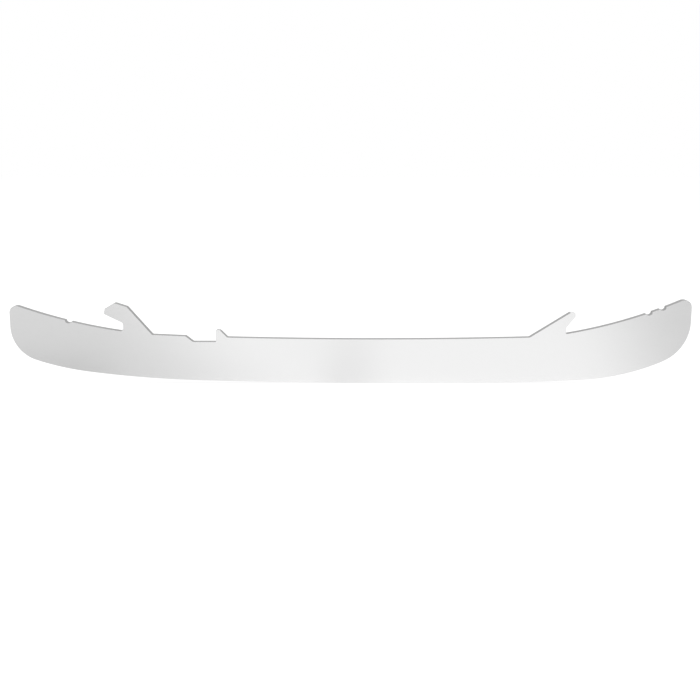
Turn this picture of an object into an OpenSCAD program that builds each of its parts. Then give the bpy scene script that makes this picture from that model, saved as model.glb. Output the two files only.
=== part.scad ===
// Runner of a hockey skate: one flat bar of hardened stainless steel.
// Two hooks on its top edge clip into a holder, and it glides on the hollow ground along its lower edge.
// X runs from toe to heel, Y across the steel, Z up from the lowest point of the running edge.
// Sizes are in millimetres, angles in degrees.

/* [Steel] */
// Overall length from the toe's end to the heel's end
blade_length = 272; // [240:1:310]
// Thickness of the steel
blade_thickness = 2.9; // [2.6:0.1:3.4]

/* [Running edge] */
// Radius of the grinding wheel that hollows the running edge from toe to heel
hollow_radius = 12.7; // [9.5:0.1:22]
// Radius of the long rocker in the middle
rocker_radius = 3050; // [2400:50:4000]
// How far the lowest point lies behind the middle of the length
low_point_offset = 30; // [22:0.5:36]
// Radius of the run that lifts the edge ahead of the rocker
toe_run_radius = 440; // [300:10:600]
// Radius of the sweep between the toe's run and its nose
toe_sweep_radius = 116; // [80:1:160]
// Radius of the toe's nose, up to its end wall
toe_nose_radius = 14.3; // [12:0.1:18]
// Steepness of the edge where the toe's sweep begins
toe_sweep_angle = 7.5; // [6:0.1:9]
// Steepness of the edge where the toe's nose begins
toe_nose_angle = 18.1; // [15:0.1:21]
// Radius of the run that lifts the edge behind the rocker
heel_run_radius = 1000; // [800:10:1300]
// Radius of the sweep between the heel's run and its nose
heel_sweep_radius = 92; // [75:1:120]
// Radius of the heel's nose, up to its end wall
heel_nose_radius = 17.5; // [15:0.1:21]
// Steepness of the edge where the heel's sweep begins
heel_sweep_angle = 3.2; // [2.6:0.1:3.6]
// Steepness of the edge where the heel's nose begins
heel_nose_angle = 23.5; // [20:0.1:26]

/* [Toe top edge] */
// Height of the toe's top edge at the mouth of the front hook
toe_top_height = 21.3; // [19:0.1:23]
// Steepness of the toe's top edge there
toe_top_angle = 8.1; // [6:0.1:10]
// Radius of the toe's dished top edge
toe_top_radius = 215; // [180:1:280]
// Radius of the toe's top corner
toe_corner_radius = 2.8; // [1.5:0.1:3.5]
// Distance from the toe's end to its single locating nick
toe_nick_distance = 23.4; // [18:0.1:30]

/* [Heel top edge] */
// Height of the heel's top edge at the throat of the rear hook
heel_top_height = 20.3; // [18.5:0.1:22]
// Steepness of the heel's top edge there
heel_top_angle = 9.5; // [8:0.1:11]
// Radius of the heel's dished top edge
heel_top_radius = 200; // [180:1:240]
// Radius of the heel's top corner
heel_corner_radius = 3; // [1.5:0.1:3.6]
// Distance from the heel's end to the nearer of its two locating nicks
heel_nick_distance = 11.5; // [9:0.1:14]
// Distance between the heel's two locating nicks
heel_nick_spacing = 5.4; // [4:0.1:8]
// Radius of the half-round locating nicks
nick_radius = 1.4; // [0.8:0.1:1.7]
// Depth of the nicks below the edge
nick_depth = 0.9; // [0.6:0.1:1.4]

/* [Front hook] */
// Distance from the toe's end to the wall at the back of the hook's mouth
front_hook_setback = 45.1; // [42:0.1:50]
// Height of the mouth at that wall
mouth_height = 3.4; // [2.8:0.1:4.4]
// Radius of the mouth's two inner corners
mouth_radius = 1.2; // [0.5:0.1:1.6]
// Reach of the beak ahead of that wall, to the lower corner of its blunt end
beak_length = 7.6; // [6.6:0.1:9]
// Height of that corner above the mouth's floor
beak_height = 7.1; // [6.4:0.1:7.8]
// Height of the blunt end
beak_end_height = 2; // [1.5:0.1:2.6]
// How far the blunt end leans back
beak_end_lean = 0.5; // [0.1:0.1:0.9]
// Radius of the blunt end's two corners
beak_radius = 0.6; // [0.3:0.1:0.9]
// Distance that the crown starts ahead of the mouth's wall
crown_front = 3.1; // [2.7:0.1:4]
// Height of the crown's front above the mouth's floor
crown_height = 11.5; // [10.8:0.1:12.4]
// Length of the crown along the blade
crown_length = 4.9; // [4:0.1:6.5]
// How far the crown falls towards the heel
crown_fall = 1.6; // [1:0.1:2.4]
// Distance from the mouth's wall to the foot of the hook's back
hook_foot = 11.5; // [9:0.1:13]

/* [Seat and tooth] */
// Height of the seat at the foot of the front hook
seat_height = 20; // [18.8:0.1:21]
// Length of the seat
seat_length = 13.4; // [10:0.1:18]
// How far the seat falls towards the heel
seat_fall = 0.6; // [0.2:0.1:1]
// Height of the recess floor behind the seat
recess_height = 17.1; // [15.5:0.1:17.6]
// Length of the slope from the seat to the recess floor
step_length = 2.9; // [1.5:0.1:4]
// Length of the recess floor
recess_length = 9.2; // [6:0.1:13]
// Height of the tooth above the recess floor
tooth_height = 4.8; // [3.6:0.1:6]
// Length of the tooth's flat top
tooth_top_length = 1.6; // [1.3:0.1:2.4]
// Length of the tooth at its foot
tooth_length = 4.6; // [3.6:0.1:6]

/* [Waist] */
// Least height of the steel, in the waist between the hooks
waist_height = 18.15; // [16.5:0.05:18.6]
// Radius of the dished top edge along the waist
waist_radius = 2400; // [1800:50:3200]
// How far the waist's lowest point lies behind the middle of the length
waist_offset = 11.5; // [0:0.5:25]

/* [Rear hook] */
// Distance from the heel's end to the throat of the rear hook
rear_hook_setback = 49.8; // [46:0.1:54]
// Distance from the throat to the foot of the hook's front slope
rear_hook_length = 14.4; // [11:0.1:18]
// Overhang of the hook's tip behind the throat
rear_hook_overhang = 3.6; // [2.8:0.1:4.5]
// Height of the hook's flat top above the throat's floor
rear_hook_height = 8.6; // [8.3:0.1:9.4]
// Length of that flat top
rear_top_length = 2; // [1.4:0.1:2.6]
// Height of the lower corner of the hook's blunt end above the throat's floor
rear_lip_height = 6.9; // [6:0.1:7.2]
// Height of the upright wall of the throat
throat_height = 2.4; // [1.8:0.1:3.5]
// Radius of the two corners of the flat top
rear_tip_radius = 0.6; // [0.3:0.1:0.8]

/* [Corners] */
// Radius of the hooks' and tooth's small outer corners
outer_radius = 0.5; // [0.2:0.05:0.6]
// Radius of the crown's two outer corners and of the step's upper one
crown_radius = 1; // [0.4:0.1:1.4]
// Radius of the small inner corners
inner_radius = 0.5; // [0.2:0.05:0.7]
// Radius of the larger inner corners: the step's foot, the throat and the foot of the rear hook
blend_radius = 1.5; // [0.6:0.1:1.8]

/* [Hidden] */
$fn = 96;

// Steel left below the running edge for the grinding to take away
grind_stock = 1;
// How far a rounded corner stands past its flats, and a nose past its end wall, so that they cross cleanly
lap = 0.002;
nose_lap = 0.02;
// How sharply the edge bends where two of its arcs meet, so that the wheel's paths cross cleanly there
join_bend = 0.3;
// How far pieces of the outline run into each other
overlap = 2;
// How far along a dished edge the flat of its end corner is taken, in radii of that corner
corner_run = 1.5;
// How far a corner's wedge runs on past the round, and a slope past its foot, as shares of their lengths
wedge_margin = 0.2;
buried_margin = 0.1;

half_length = blade_length / 2;
mouth_x = front_hook_setback - half_length;
rear_x = half_length - rear_hook_setback;

// A dished edge as [centre, radius], from one of its points and how steeply it falls there towards the heel
function dish_at(point, fall, r) = [point + r * [sin(fall), cos(fall)], r];

// The point of a dished edge at a place along the blade
function on_dish(dish, x) = [x, dish[0].y - sqrt(dish[1] ^ 2 - (x - dish[0].x) ^ 2)];

toe_dish = dish_at([mouth_x, toe_top_height], toe_top_angle, toe_top_radius);
waist_dish = dish_at([waist_offset, waist_height], 0, waist_radius);
heel_dish = dish_at([rear_x, heel_top_height], -heel_top_angle, heel_top_radius);

// A point on the line from a to b, as a share of its length
function along(a, b, share) = a + (b - a) * share;

// Corners of the front hook, the seat, the recess and the tooth, from the mouth towards the heel
mouth_floor = [mouth_x, toe_top_height];
mouth_roof = mouth_floor + [0, mouth_height];
beak_low = mouth_floor + [-beak_length, beak_height];
beak_top = beak_low + [beak_end_lean, beak_end_height];
crown_start = mouth_floor + [-crown_front, crown_height];
crown_end = crown_start + [crown_length, -crown_fall];
seat_start = [mouth_x + hook_foot, seat_height];
seat_end = seat_start + [seat_length, -seat_fall];
recess_start = [seat_end.x + step_length, recess_height];
recess_end = recess_start + [recess_length, 0];
tooth_start = recess_end + [0, tooth_height];
tooth_end = tooth_start + [tooth_top_length, 0];
tooth_foot = on_dish(waist_dish, recess_end.x + tooth_length);

// Corners of the rear hook, in the same direction
rear_foot = on_dish(waist_dish, rear_x - rear_hook_length);
rear_floor = [rear_x, heel_top_height];
rear_tip = rear_floor + [rear_hook_overhang, rear_hook_height];
rear_crest = rear_tip - [rear_top_length, 0];
rear_lip = rear_floor + [rear_hook_overhang, rear_lip_height];
throat_roof = rear_floor + [0, throat_height];

toe_corner = on_dish(toe_dish, -half_length);
heel_corner = on_dish(heel_dish, half_length);
// Height of the bar that the dished top edges are cut from
bar_height = max(toe_corner.y, heel_corner.y) + overlap;

// Every rounded corner is [the point before it, the corner, the point after it, its radius]
corners = [
    [[-half_length, 0], toe_corner, on_dish(toe_dish, corner_run * toe_corner_radius - half_length),
        toe_corner_radius],
    [on_dish(toe_dish, mouth_x - mouth_radius), mouth_floor, mouth_roof, mouth_radius],
    [mouth_floor, mouth_roof, beak_low, mouth_radius],
    [mouth_roof, beak_low, beak_top, beak_radius],
    [beak_low, beak_top, crown_start, beak_radius],
    [beak_top, crown_start, crown_end, crown_radius],
    [crown_start, crown_end, seat_start, crown_radius],
    [crown_end, seat_start, seat_end, inner_radius],
    [seat_start, seat_end, recess_start, crown_radius],
    [seat_end, recess_start, recess_end, blend_radius],
    [recess_start, recess_end, tooth_start, inner_radius],
    [recess_end, tooth_start, tooth_end, outer_radius],
    [tooth_start, tooth_end, tooth_foot, outer_radius],
    [tooth_end, tooth_foot, on_dish(waist_dish, tooth_foot.x + inner_radius), inner_radius],
    [on_dish(waist_dish, rear_foot.x - blend_radius), rear_foot, rear_crest, blend_radius],
    [rear_foot, rear_crest, rear_tip, rear_tip_radius],
    [rear_crest, rear_tip, rear_lip, rear_tip_radius],
    [rear_tip, rear_lip, throat_roof, outer_radius],
    [rear_lip, throat_roof, rear_floor, blend_radius],
    [throat_roof, rear_floor, on_dish(heel_dish, rear_x + inner_radius), inner_radius],
    [on_dish(heel_dish, half_length - corner_run * heel_corner_radius), heel_corner, [half_length, 0],
        heel_corner_radius]
];

// For one corner: steps back and on along its flats, half the angle between them, the centre of its round
function unit(v) = v / norm(v);
function step_back(corner) = unit(corner[0] - corner[1]);
function step_on(corner) = unit(corner[2] - corner[1]);
function half_angle(corner) = acos(step_back(corner) * step_on(corner)) / 2;
function round_centre(corner) =
    corner[1] + unit(step_back(corner) + step_on(corner)) * corner[3] / sin(half_angle(corner));
function is_inner(corner) = cross(corner[1] - corner[0], corner[2] - corner[1]) > 0;

// An end's arcs outwards from the rocker, each [radius, steepness where it begins]
// The run begins where it has to, for the nose to end at the end wall
function end_arcs(reach, run_radius, sweep, nose) = [
    [rocker_radius, 0],
    [run_radius, asin((reach + nose_lap - nose[0] - (run_radius - sweep[0]) * sin(sweep[1])
        - (sweep[0] - nose[0]) * sin(nose[1])) / (rocker_radius - run_radius))],
    sweep,
    nose
];
toe_arcs = end_arcs(
    half_length + low_point_offset,
    toe_run_radius,
    [toe_sweep_radius, toe_sweep_angle],
    [toe_nose_radius, toe_nose_angle]
);
heel_arcs = end_arcs(
    half_length - low_point_offset,
    heel_run_radius,
    [heel_sweep_radius, heel_sweep_angle],
    [heel_nose_radius, heel_nose_angle]
);
// From the wheel's centre to the middle of the chord between the two sharp edges
hollow_rise = sqrt(hollow_radius ^ 2 - (blade_thickness / 2) ^ 2);

// The triangle at a corner: what a round leaves off an outer corner, and what a fillet adds to an inner one
module corner_wedge(corner) {
    flat = corner[3] / tan(half_angle(corner));
    start = corner[1] + step_back(corner) * flat;
    end = corner[1] + step_on(corner) * flat;
    polygon([
        along(start, end, 1 + wedge_margin),
        along(start, end, -wedge_margin),
        along(round_centre(corner), corner[1], 1 + 2 * wedge_margin)
    ]);
}

module corner_disc(corner) {
    translate(round_centre(corner))
        circle(r = corner[3] + lap);
}

// Rounds the outer corners of an outline and fillets its inner ones
module soften_corners() {
    difference() {
        union() {
            difference() {
                children();
                for (corner = corners)
                    if (!is_inner(corner)) corner_wedge(corner);
            }
            for (corner = corners)
                if (is_inner(corner)) corner_wedge(corner);
                else corner_disc(corner);
        }
        for (corner = corners)
            if (is_inner(corner)) corner_disc(corner);
    }
}

// A length of the bar whose top edge is dished
module dished_bar(from, to, dish) {
    difference() {
        translate([from, -grind_stock])
            square([to - from, grind_stock + bar_height]);
        translate(dish[0])
            circle(r = dish[1], $fn = 256);
    }
}

module front_hook() {
    buried_foot = along(tooth_end, tooth_foot, 1 + buried_margin);
    polygon([
        [mouth_x, -grind_stock], [buried_foot.x, -grind_stock], buried_foot, tooth_end, tooth_start,
        recess_end, recess_start, seat_end, seat_start, crown_end, crown_start, beak_top, beak_low,
        mouth_roof
    ]);
}

module rear_hook() {
    buried_foot = along(rear_crest, rear_foot, 1 + buried_margin);
    polygon([
        [buried_foot.x, -grind_stock], [rear_x, -grind_stock], throat_roof, rear_lip, rear_tip, rear_crest,
        buried_foot
    ]);
}

module nick(dish, x) {
    translate(on_dish(dish, x) + [0, nick_radius - nick_depth])
        circle(r = nick_radius);
}

// The side view, with stock left below the running edge
module outline() {
    difference() {
        soften_corners() {
            dished_bar(-half_length, mouth_x + overlap, toe_dish);
            front_hook();
            dished_bar(recess_end.x + tooth_top_length / 2, rear_x - overlap, waist_dish);
            rear_hook();
            dished_bar(rear_x - overlap, half_length, heel_dish);
        }
        nick(toe_dish, toe_nick_distance - half_length);
        for (i = [0, 1])
            nick(heel_dish, half_length - heel_nick_distance - i * heel_nick_spacing);
    }
}

// The ring that the rim of the grinding wheel passes through as it follows a round edge of radius r
module wheel_path(r) {
    rotate_extrude($fn = 256)
        translate([r, 0])
            translate([hollow_rise, 0])
                circle(r = hollow_radius);
}

// All that lies below the centre of an arc and to one side of it: 1 for the right, -1 for the left
module quarter(r, side) {
    reach = r + 2 * hollow_radius + overlap;
    translate([side > 0 ? 0 : -reach, -reach, -hollow_radius - overlap])
        cube([reach, reach, 2 * (hollow_radius + overlap)]);
}

// The wheel's path along one arc of the running edge, between two directions from its centre
module ground_arc(r, start, stop) {
    intersection() {
        wheel_path(r);
        rotate(start) quarter(r, 1);
        rotate(stop) quarter(r, -1);
    }
}

// How far an arc is lowered to cross the one before it with the bend, a little past its start
function lowering(before, r) = (join_bend * PI / 180) ^ 2 / 2 / (1 / r - 1 / before);

// The direction in which an arc's cut stops: twice as far past the next arc's start as where they cross
function stop_angle(arcs, i) =
    i + 1 < len(arcs) ? arcs[i + 1][1] + 2 * join_bend / (arcs[i][0] / arcs[i + 1][0] - 1) : 90;

// Places what follows at the centre of an arc, turned so that the arc begins straight below it
// Each arc hangs from the centre of the one before
module at_arc(arcs, i) {
    if (i > 0)
        at_arc(arcs, i - 1)
            rotate(arcs[i][1] - arcs[i - 1][1])
                translate([0, arcs[i][0] - arcs[i - 1][0]])
                    translate([0, -lowering(arcs[i - 1][0], arcs[i][0])])
                        children();
    else
        translate([low_point_offset, rocker_radius])
            children();
}

// Grinds the rocker into a bar
module grind_rocker() {
    difference() {
        children();
        at_arc(heel_arcs, 0)
            ground_arc(rocker_radius, -stop_angle(toe_arcs, 0), stop_angle(heel_arcs, 0));
    }
}

// Grinds an end's arcs into a bar, one after another from the rocker out to the arc numbered i
module grind_end(arcs, i) {
    difference() {
        if (i > 1)
            grind_end(arcs, i - 1)
                children();
        else
            children();
        at_arc(arcs, i)
            ground_arc(arcs[i][0], 0, stop_angle(arcs, i) - arcs[i][1]);
    }
}

// Turns a bar end for end about its lowest point, so that both ends are ground alike
module end_for_end() {
    translate([low_point_offset, 0])
        mirror([1, 0, 0])
            translate([-low_point_offset, 0])
                children();
}

module runner() {
    color("gainsboro")
        rotate([90, 0, 0])
            end_for_end()
                grind_end(toe_arcs, len(toe_arcs) - 1)
                    end_for_end()
                        grind_end(heel_arcs, len(heel_arcs) - 1)
                            grind_rocker()
                                linear_extrude(blade_thickness, center = true)
                                    outline();
}

runner();
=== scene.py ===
from math import acos, asin, ceil, cos, pi, radians, sin, sqrt, tan
import bmesh
import bpy
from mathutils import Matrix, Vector


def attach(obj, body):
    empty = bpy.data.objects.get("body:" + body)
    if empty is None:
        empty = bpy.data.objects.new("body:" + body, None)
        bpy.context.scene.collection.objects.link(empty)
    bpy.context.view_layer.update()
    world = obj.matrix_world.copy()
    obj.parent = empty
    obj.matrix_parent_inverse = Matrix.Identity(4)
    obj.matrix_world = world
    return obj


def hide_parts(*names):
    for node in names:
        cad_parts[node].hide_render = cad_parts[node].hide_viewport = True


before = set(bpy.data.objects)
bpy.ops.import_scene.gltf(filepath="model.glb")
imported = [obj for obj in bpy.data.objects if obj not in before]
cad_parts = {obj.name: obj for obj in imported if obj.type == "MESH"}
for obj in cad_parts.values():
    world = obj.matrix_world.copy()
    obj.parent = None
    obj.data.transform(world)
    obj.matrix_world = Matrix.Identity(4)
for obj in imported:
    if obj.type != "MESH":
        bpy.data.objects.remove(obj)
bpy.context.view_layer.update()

# The runner: the whole blade is one bar of hardened stainless steel, 2.9 mm thick.
# It is cut from sheet to its side view, polished on both sides, and hollowed along
# its lower edge by a round wheel. Two hooks in its top edge clip it into a holder.
mm = 0.001
half_length = 136 * mm
half_thickness = 1.45 * mm

# The side view is drawn with a pen: one vertex, pulled out along lines and spun round arcs
bpy.ops.object.select_all(action="DESELECT")
bpy.ops.mesh.primitive_plane_add(size=mm, location=(0, 0, 0))
runner = bpy.context.object
runner.name = "runner_steel"
bpy.ops.object.mode_set(mode="EDIT")
bpy.ops.mesh.select_all(action="SELECT")
bpy.ops.mesh.merge(type="CENTER")
pen = Vector((0, 0))


def line_to(point):
    """Pulls the pen straight to a point."""
    global pen
    step = point - pen
    bpy.ops.mesh.extrude_region_move(TRANSFORM_OT_translate={"value": (step.x, 0, step.y)})
    pen = point


def arc_to(point, radius):
    """Spins the pen round to a point, turning left for a radius above 0 and right for one below 0."""
    global pen
    side = 1 if radius > 0 else -1
    chord = point - pen
    to_centre = Vector((-chord.y, chord.x)).normalized() * side
    centre = (pen + point) / 2 + to_centre * sqrt(radius ** 2 - (chord.length / 2) ** 2)
    angle = 2 * asin(chord.length / 2 / abs(radius)) * side
    flatness = 0.002 * mm
    steps = max(2, ceil(abs(angle) / 2 / acos(1 - flatness / abs(radius))))
    bpy.ops.mesh.spin(
        steps=steps, angle=angle, center=(centre.x, 0, centre.y), axis=(0, 1, 0), use_auto_merge=False
    )
    pen = point


def dish_at(point, fall, radius):
    """A dished edge as its centre and radius, from one of its points and its fall there towards the heel."""
    return point + radius * Vector((sin(fall), cos(fall))), radius


def along(dish, x):
    """The point of a dished edge at a place along the blade."""
    centre, radius = dish
    return Vector((x, centre.y - sqrt(radius ** 2 - (x - centre.x) ** 2)))


def rounded(before, corner, after, radius, dish=None):
    """Draws up to a corner, straight or along a dished edge, and round it."""
    back = (before - corner).normalized()
    on = (after - corner).normalized()
    flat = radius / tan(acos(back.dot(on)) / 2)
    start = corner + back * flat
    if dish:
        arc_to(along(dish, start.x), -dish[1])
    else:
        line_to(start)
    turn = (corner - before).cross(after - corner)
    arc_to(corner + on * flat, radius if turn > 0 else -radius)


def corners(before, row, after):
    """Draws round a row of corners, each a point and its radius, with straight edges between."""
    points = [before, *(point for point, radius in row), after]
    for i, (point, radius) in enumerate(row):
        rounded(points[i], point, points[i + 2], radius)


def nick(dish, x):
    """Draws along a dished edge up to a locating nick, and through it."""
    nick_radius = 1.4 * mm
    nick_depth = 0.9 * mm
    centre = along(dish, x) + Vector((0, nick_radius - nick_depth))
    way = dish[0] - centre
    reach = (nick_radius ** 2 - dish[1] ** 2 + way.length_squared) / (2 * way.length)
    aside = Vector((way.y, -way.x)).normalized() * sqrt(nick_radius ** 2 - reach ** 2)
    middle = centre + way.normalized() * reach
    arc_to(middle + aside, -dish[1])
    arc_to(middle - aside, -nick_radius)


# Running edge: a long rocker, then towards each end a run, a sweep and a nose, all meeting without a bend
low_point = Vector((30, 0)) * mm
rocker_radius = 3050 * mm


def end_arcs(side, run_radius, sweep_radius, sweep_angle, nose_radius, nose_angle):
    """An end's arcs, from the lowest point out to the end wall: the points they join, and their radii."""
    reach = half_length - side * low_point.x
    sweep_reach = (run_radius - sweep_radius) * sin(sweep_angle)
    nose_reach = nose_radius + (sweep_radius - nose_radius) * sin(nose_angle)
    run_angle = asin((reach - sweep_reach - nose_reach) / (rocker_radius - run_radius))
    radii = [rocker_radius, run_radius, sweep_radius, nose_radius]
    points = [low_point]
    centre = low_point + Vector((0, rocker_radius))
    for i, angle in enumerate((run_angle, sweep_angle, nose_angle)):
        down = Vector((side * sin(angle), -cos(angle)))
        centre = centre + down * (radii[i] - radii[i + 1])
        points.append(centre + down * radii[i + 1])
    points.append(centre + Vector((side * nose_radius, 0)))
    return points, radii


heel_points, heel_radii = end_arcs(
    side=1,
    run_radius=1000 * mm,
    sweep_radius=92 * mm,
    sweep_angle=radians(3.2),
    nose_radius=17.5 * mm,
    nose_angle=radians(23.5),
)
toe_points, toe_radii = end_arcs(
    side=-1,
    run_radius=440 * mm,
    sweep_radius=116 * mm,
    sweep_angle=radians(7.5),
    nose_radius=14.3 * mm,
    nose_angle=radians(18.1),
)
heel_nose, heel_wall = heel_points[-2:]
toe_nose, toe_wall = toe_points[-2:]

# Top edge: dished at the heel, the waist and the toe, with the corners of the two hooks and the tooth between
mouth_floor = Vector((-90.9, 21.3)) * mm
throat_floor = Vector((86.2, 20.3)) * mm
heel_dish = dish_at(throat_floor, radians(-9.5), 200 * mm)
waist_dish = dish_at(Vector((11.5, 18.15)) * mm, 0, 2400 * mm)
toe_dish = dish_at(mouth_floor, radians(8.1), 215 * mm)

throat_roof = throat_floor + Vector((0, 2.4)) * mm
rear_lip = throat_floor + Vector((3.6, 6.9)) * mm
rear_tip = throat_floor + Vector((3.6, 8.6)) * mm
rear_crest = rear_tip - Vector((2, 0)) * mm
rear_foot = along(waist_dish, throat_floor.x - 14.4 * mm)
mouth_roof = mouth_floor + Vector((0, 3.4)) * mm
beak_low = mouth_floor + Vector((-7.6, 7.1)) * mm
beak_top = beak_low + Vector((0.5, 2)) * mm
crown_front = mouth_floor + Vector((-3.1, 11.5)) * mm
crown_back = crown_front + Vector((4.9, -1.6)) * mm
seat_front = Vector((mouth_floor.x + 11.5 * mm, 20 * mm))
seat_back = seat_front + Vector((13.4, -0.6)) * mm
recess_front = Vector((seat_back.x + 2.9 * mm, 17.1 * mm))
recess_back = recess_front + Vector((9.2, 0)) * mm
tooth_front = recess_back + Vector((0, 4.8)) * mm
tooth_back = tooth_front + Vector((1.6, 0)) * mm
tooth_foot = along(waist_dish, recess_back.x + 4.6 * mm)
heel_corner = along(heel_dish, half_length)
toe_corner = along(toe_dish, -half_length)

# Radii of the rounded corners, and the nicks' distances from their ends
inner_radius = 0.5 * mm
outer_radius = 0.5 * mm
blend_radius = 1.5 * mm
crown_radius = 1 * mm
mouth_radius = 1.2 * mm
beak_radius = 0.6 * mm
rear_tip_radius = 0.6 * mm
heel_corner_radius = 3 * mm
toe_corner_radius = 2.8 * mm
corner_run = 1.5
heel_nicks = (11.5 * mm, 16.9 * mm)
toe_nick = 23.4 * mm

# Once round, from the lowest point to the heel, back along the top to the toe, and down again
bpy.ops.transform.translate(value=(low_point.x, 0, low_point.y))
pen = low_point
for point, radius in zip(heel_points[1:], heel_radii):
    arc_to(point, radius)
heel_edge = along(heel_dish, half_length - corner_run * heel_corner_radius)
rounded(heel_wall, heel_corner, heel_edge, heel_corner_radius)
for distance in heel_nicks:
    nick(heel_dish, half_length - distance)
throat_edge = along(heel_dish, throat_floor.x + inner_radius)
rounded(throat_edge, throat_floor, throat_roof, inner_radius, heel_dish)
corners(
    throat_floor,
    [
        (throat_roof, blend_radius),
        (rear_lip, outer_radius),
        (rear_tip, rear_tip_radius),
        (rear_crest, rear_tip_radius),
        (rear_foot, blend_radius),
    ],
    along(waist_dish, rear_foot.x - blend_radius),
)
waist_edge = along(waist_dish, tooth_foot.x + inner_radius)
rounded(waist_edge, tooth_foot, tooth_back, inner_radius, waist_dish)
corners(
    tooth_foot,
    [
        (tooth_back, outer_radius),
        (tooth_front, outer_radius),
        (recess_back, inner_radius),
        (recess_front, blend_radius),
        (seat_back, crown_radius),
        (seat_front, inner_radius),
        (crown_back, crown_radius),
        (crown_front, crown_radius),
        (beak_top, beak_radius),
        (beak_low, beak_radius),
        (mouth_roof, mouth_radius),
        (mouth_floor, mouth_radius),
    ],
    along(toe_dish, mouth_floor.x - mouth_radius),
)
nick(toe_dish, toe_nick - half_length)
toe_edge = along(toe_dish, corner_run * toe_corner_radius - half_length)
rounded(toe_edge, toe_corner, toe_wall, toe_corner_radius, toe_dish)
line_to(toe_wall)
for point, radius in zip(toe_points[-2::-1], toe_radii[::-1]):
    arc_to(point, radius)

# Closed, filled, and pulled out to the steel's thickness
bpy.ops.mesh.select_all(action="SELECT")
bpy.ops.mesh.remove_doubles(threshold=0.0005 * mm)
bpy.ops.mesh.edge_face_add()
bpy.ops.transform.translate(value=(0, -half_thickness, 0))
bpy.ops.mesh.extrude_region_move(TRANSFORM_OT_translate={"value": (0, 2 * half_thickness, 0)})
bpy.ops.mesh.select_all(action="SELECT")
bpy.ops.mesh.normals_make_consistent(inside=False)

# Three finishes: bright polished sides, a duller cut top edge, and a ground running edge
polished, cut, ground = range(3)
for finish in ("polished_steel", "cut_edge", "ground_edge"):
    material = bpy.data.materials.new(finish)
    material.use_nodes = True
    runner.data.materials.append(material)


def is_running(face):
    """Whether a face is part of the running edge: it looks down, and it isn't under a hook."""
    below_hooks = 16 * mm
    past_hooks = 110 * mm
    middle = face.calc_center_median()
    return face.normal.z < -1e-4 and (middle.z < below_hooks or abs(middle.x) > past_hooks)


shape = bmesh.from_edit_mesh(runner.data)
for face in shape.faces:
    if abs(face.normal.y) > 0.5:
        face.material_index = polished
    else:
        face.material_index = ground if is_running(face) else cut


def pick(kind, is_wanted):
    """Selects the runner's edges or vertices that are wanted, and nothing else."""
    bpy.ops.mesh.select_mode(type=kind)
    bpy.ops.mesh.select_all(action="DESELECT")
    shape = bmesh.from_edit_mesh(runner.data)
    for item in shape.edges if kind == "EDGE" else shape.verts:
        item.select = is_wanted(item)
    shape.select_flush_mode()
    bmesh.update_edit_mesh(runner.data)


def is_across(edge):
    """Whether an edge crosses the running edge from one side of the steel to the other."""
    width = abs(edge.verts[0].co.y - edge.verts[1].co.y)
    return width > half_thickness and any(face.material_index == ground for face in edge.link_faces)


# The wheel's hollow: the running edge is divided across the steel, and its rows are pushed in to a round
wheel_radius = 12.7 * mm
rows = 4
pick("EDGE", is_across)
bpy.ops.mesh.subdivide(number_cuts=2 * rows - 1)
for row in range(rows):
    aside = row * half_thickness / rows
    depth = sqrt(wheel_radius ** 2 - aside ** 2) - sqrt(wheel_radius ** 2 - half_thickness ** 2)
    pick(
        "VERT",
        lambda vertex: abs(abs(vertex.co.y) - aside) < 0.01 * mm
        and all(face.material_index == ground for face in vertex.link_faces),
    )
    bpy.ops.transform.shrink_fatten(value=-depth)


def is_broken(edge):
    """Whether an edge is between a side and the top, or between a side and a nose."""
    finishes = {face.material_index for face in edge.link_faces}
    middle = (edge.verts[0].co + edge.verts[1].co) / 2
    at_nose = middle.x > heel_nose.x or middle.x < toe_nose.x
    return finishes == {polished, cut} or (finishes == {polished, ground} and at_nose)


# The edges are broken by hand with a stone: all along the top, where they are dull, and round both noses
pick("EDGE", is_broken)
bpy.ops.mesh.bevel(
    offset=0.1 * mm, segments=2, profile=0.5, affect="EDGES", clamp_overlap=False, material=polished
)
shape = bmesh.from_edit_mesh(runner.data)
for face in shape.faces:
    is_side = abs(face.normal.y) >= 0.99
    if face.material_index == polished and not is_side and face.normal.z > 0.15:
        face.material_index = cut
bmesh.update_edit_mesh(runner.data)
bpy.ops.object.mode_set(mode="OBJECT")
bpy.ops.object.shade_smooth_by_angle(angle=radians(18))


class Shade:
    """One value in a material's nodes. Sums on it add Math nodes."""

    def __init__(self, tree, socket=None):
        self.tree = tree
        self.socket = socket

    def node(self, kind, settings=None, out=0, **sockets):
        """Adds a node: its settings first, then the values or links of its sockets, named or as _number."""
        new = self.tree.nodes.new(kind)
        for name, value in (settings or {}).items():
            setattr(new, name, value)
        for name, value in sockets.items():
            socket = new.inputs[int(name[1:]) if name[0] == "_" else name.replace("_", " ")]
            if isinstance(value, Shade):
                self.tree.links.new(value.socket, socket)
            else:
                socket.default_value = value
        return Shade(self.tree, new.outputs[out])

    def math(self, operation, first, second=0.0):
        return self.node("ShaderNodeMath", {"operation": operation}, _0=first, _1=second)

    def __add__(self, other):
        return self.math("ADD", self, other)

    def __radd__(self, other):
        return self.math("ADD", other, self)

    def __sub__(self, other):
        return self.math("SUBTRACT", self, other)

    def __rsub__(self, other):
        return self.math("SUBTRACT", other, self)

    def __mul__(self, other):
        return self.math("MULTIPLY", self, other)

    def __rmul__(self, other):
        return self.math("MULTIPLY", other, self)

    def grey(self):
        return self.node("ShaderNodeCombineColor", _0=self, _1=self, _2=self)


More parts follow.
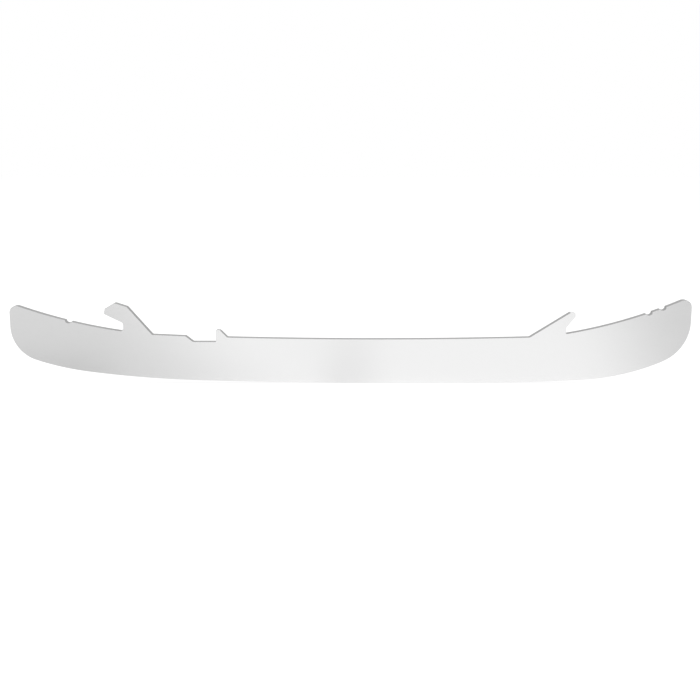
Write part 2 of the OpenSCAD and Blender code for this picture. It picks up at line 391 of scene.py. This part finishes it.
def finish_nodes(name):
    """A finish's values, its place on the steel, and its shader, metal all over."""
    tree = bpy.data.materials[name].node_tree
    values = Shade(tree)
    place = values.node("ShaderNodeTexCoord", out="Object")
    shader = tree.nodes["Principled BSDF"]
    shader.inputs["Metallic"].default_value = 1
    return values, place, shader


def grain(values, place, stretch, detail=4.0):
    """Noise drawn out along the way a surface was worked."""
    drawn = values.node("ShaderNodeMapping", Vector=place, Scale=stretch)
    return values.node("ShaderNodeTexNoise", Vector=drawn, Scale=1.0, Detail=detail, Roughness=0.6)


def ramp(value, start, end):
    """Rises softly from 0 to 1 between two values."""
    smooth = {"interpolation_type": "SMOOTHSTEP"}
    return value.node("ShaderNodeMapRange", smooth, _0=value, _1=start, _2=end)


def put_on(shader, tone, dull, relief):
    """Gives a finish's shader its tone, its dullness and its relief."""
    for name, value in (("Base Color", tone.grey()), ("Roughness", dull), ("Normal", relief)):
        value.tree.links.new(value.socket, shader.inputs[name])


# Polished sides: a belt run along the blade leaves faint lines from toe to heel, over very slight waves
values, place, shader = finish_nodes("polished_steel")
lines = grain(values, place, stretch=(40, 1, 6000))
haze = grain(values, place, stretch=(60, 1, 180), detail=3.0)
tone = 0.865 + 0.02 * haze + 0.015 * lines
dull = 0.17 + 0.06 * haze + 0.05 * lines
scratches = values.node("ShaderNodeBump", Strength=0.12, Distance=0.01 * mm, Height=lines)
put_on(shader, tone, dull, scratches)

# Cut top edge: the cutter leaves fine ridges straight across the steel. The flat tops of the tooth and
# the rear hook, which bear on the holder, are rubbed brighter.
values, place, shader = finish_nodes("cut_edge")
ridges = grain(values, place, stretch=(5000, 30, 1200))
haze = grain(values, place, stretch=(300, 300, 300), detail=2.0)
tone = 0.25 + 0.1 * ridges + 0.06 * haze
lengthwise = values.node("ShaderNodeSeparateXYZ", out="X", Vector=place)
height = values.node("ShaderNodeSeparateXYZ", out="Z", Vector=place)
fade = 0.3 * mm
for front, back, gain in ((tooth_front, tooth_back, 0.2), (rear_crest, rear_tip, 0.4)):
    past_front = ramp(lengthwise, front.x - fade, front.x + fade)
    past_back = ramp(lengthwise, back.x, back.x + 2 * fade)
    near_top = ramp(height, front.y - 4 * fade, front.y - 2 * fade)
    tone = tone + gain * past_front * (1 - past_back) * near_top
dull = 0.36 + 0.12 * haze
furrows = values.node("ShaderNodeBump", Strength=0.35, Distance=0.03 * mm, Height=ridges)
put_on(shader, tone, dull, furrows)

# Ground hollow: the wheel leaves fine lines along the running edge, and lifts off it up both noses
values, place, shader = finish_nodes("ground_edge")
lines = grain(values, place, stretch=(25, 9000, 25))
height = values.node("ShaderNodeSeparateXYZ", out="Z", Vector=place)
lift_off = ramp(height + 3 * mm * lines, 13 * mm, 24 * mm)
tone = 0.7 + 0.16 * lines - 0.45 * lift_off
dull = 0.24 + 0.1 * lines + 0.13 * lift_off
furrows = values.node("ShaderNodeBump", Strength=0.3, Distance=0.01 * mm, Height=lines)
put_on(shader, tone, dull, furrows)

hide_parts("runner")
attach(runner, "root")

# The stand: a wide sheet of white card under a white surround, with one soft lamp above.
# The card carries painted shade that only the steel's mirror shows. To mirrored rays it is painted
# greyer all over, and greyer still past the toe and past the heel, with a faint painted grey band
# straight ahead. This gives the steel a painted reflection, while the camera sees the card evenly white.
bpy.ops.object.select_all(action="DESELECT")
bpy.ops.mesh.primitive_plane_add(size=8, location=(0, 0, 0))
card = bpy.context.object
card.name = "card"
material = bpy.data.materials.new("white_card")
material.use_nodes = True
card.data.materials.append(material)
tree = material.node_tree
tree.nodes.remove(tree.nodes["Principled BSDF"])
values = Shade(tree)


def seen_directly(values):
    """1 for rays from the camera and those mirrored or let through, 0 for those that carry light."""
    camera_ray = values.node("ShaderNodeLightPath", out="Is Camera Ray")
    mirrored_ray = values.node("ShaderNodeLightPath", out="Is Glossy Ray")
    through_ray = values.node("ShaderNodeLightPath", out="Is Transmission Ray")
    return values.math("MAXIMUM", values.math("MAXIMUM", camera_ray, mirrored_ray), through_ray)


place = values.node("ShaderNodeTexCoord", out="Object")
across = values.node("ShaderNodeSeparateXYZ", out="X", Vector=place)
ahead = values.math("ABSOLUTE", values.node("ShaderNodeSeparateXYZ", out="Y", Vector=place))
# Painted shade on the card, seen only in the steel's mirror: past the toe, at the toe's foot, past the heel,
# and in a band straight ahead
past_toe = -1 * across - 0.3 * ahead
past_heel = across - 0.2 * ahead
toe_painted_shade = 0.28 * ramp(past_toe, 15 * mm, 95 * mm)
toe_foot_painted_shade = 0.12 * ramp(past_toe, 80 * mm, 110 * mm) * (1 - ramp(ahead, 20 * mm, 110 * mm))
heel_painted_shade = 0.31 * ramp(past_heel, 88 * mm, 155 * mm)
middle_painted_shade = 0.1 * (1 - ramp(values.math("ABSOLUTE", across), 0, 20 * mm))
mirrored = values.node("ShaderNodeLightPath", out="Is Glossy Ray")
# Camera rays see an even glow. Mirrored rays see it 0.145 darker all over, less the painted shade.
glow_and_painted_shade = 0.86 - mirrored * (0.145 + toe_painted_shade + toe_foot_painted_shade + heel_painted_shade + middle_painted_shade)
lit = values.node("ShaderNodeBsdfDiffuse", Color=(0.8, 0.8, 0.8, 1))
pale = values.node("ShaderNodeBsdfDiffuse", Color=(0.25, 0.25, 0.25, 1))
glowing = values.node("ShaderNodeEmission", Color=glow_and_painted_shade.grey(), Strength=1.0)
shown = values.node("ShaderNodeAddShader", _0=pale, _1=glowing)
mixed = values.node("ShaderNodeMixShader", _0=seen_directly(values), _1=lit, _2=shown)
tree.links.new(mixed.socket, tree.nodes["Material Output"].inputs["Surface"])

world = bpy.data.worlds.new("studio")
bpy.context.scene.world = world
world.use_nodes = True
level = 0.6 + 0.4 * seen_directly(Shade(world.node_tree))
background = world.node_tree.nodes["Background"]
background.inputs["Color"].default_value = (1, 1, 1, 1)
world.node_tree.links.new(level.socket, background.inputs["Strength"])

lamp_tilt = (radians(17), radians(-11), 0)
bpy.ops.object.light_add(type="AREA", location=(-0.15, -0.25, 0.8), rotation=lamp_tilt)
lamp = bpy.context.object
lamp.name = "soft_lamp"
lamp.data.shape = "RECTANGLE"
lamp.data.size = 0.9
lamp.data.size_y = 0.6
lamp.data.energy = 6

# The camera: a little above the blade and square to its side, as close as for a small
# thing on a table, with a lens that fills the width of the picture with the blade.
bpy.ops.object.camera_add()
camera = bpy.context.object
camera.name = "camera"
bpy.context.scene.camera = camera
distance = 0.42
height_angle = radians(10.5)
target = Vector((-0.2, -1.45, 13.76)) * mm
camera.location = target + distance * Vector((0, -cos(height_angle), sin(height_angle)))
camera.rotation_euler = (pi / 2 - height_angle, 0, 0)
camera.data.sensor_width = 36
camera.data.lens = 53.82
bpy.context.scene.view_settings.view_transform = "Standard"
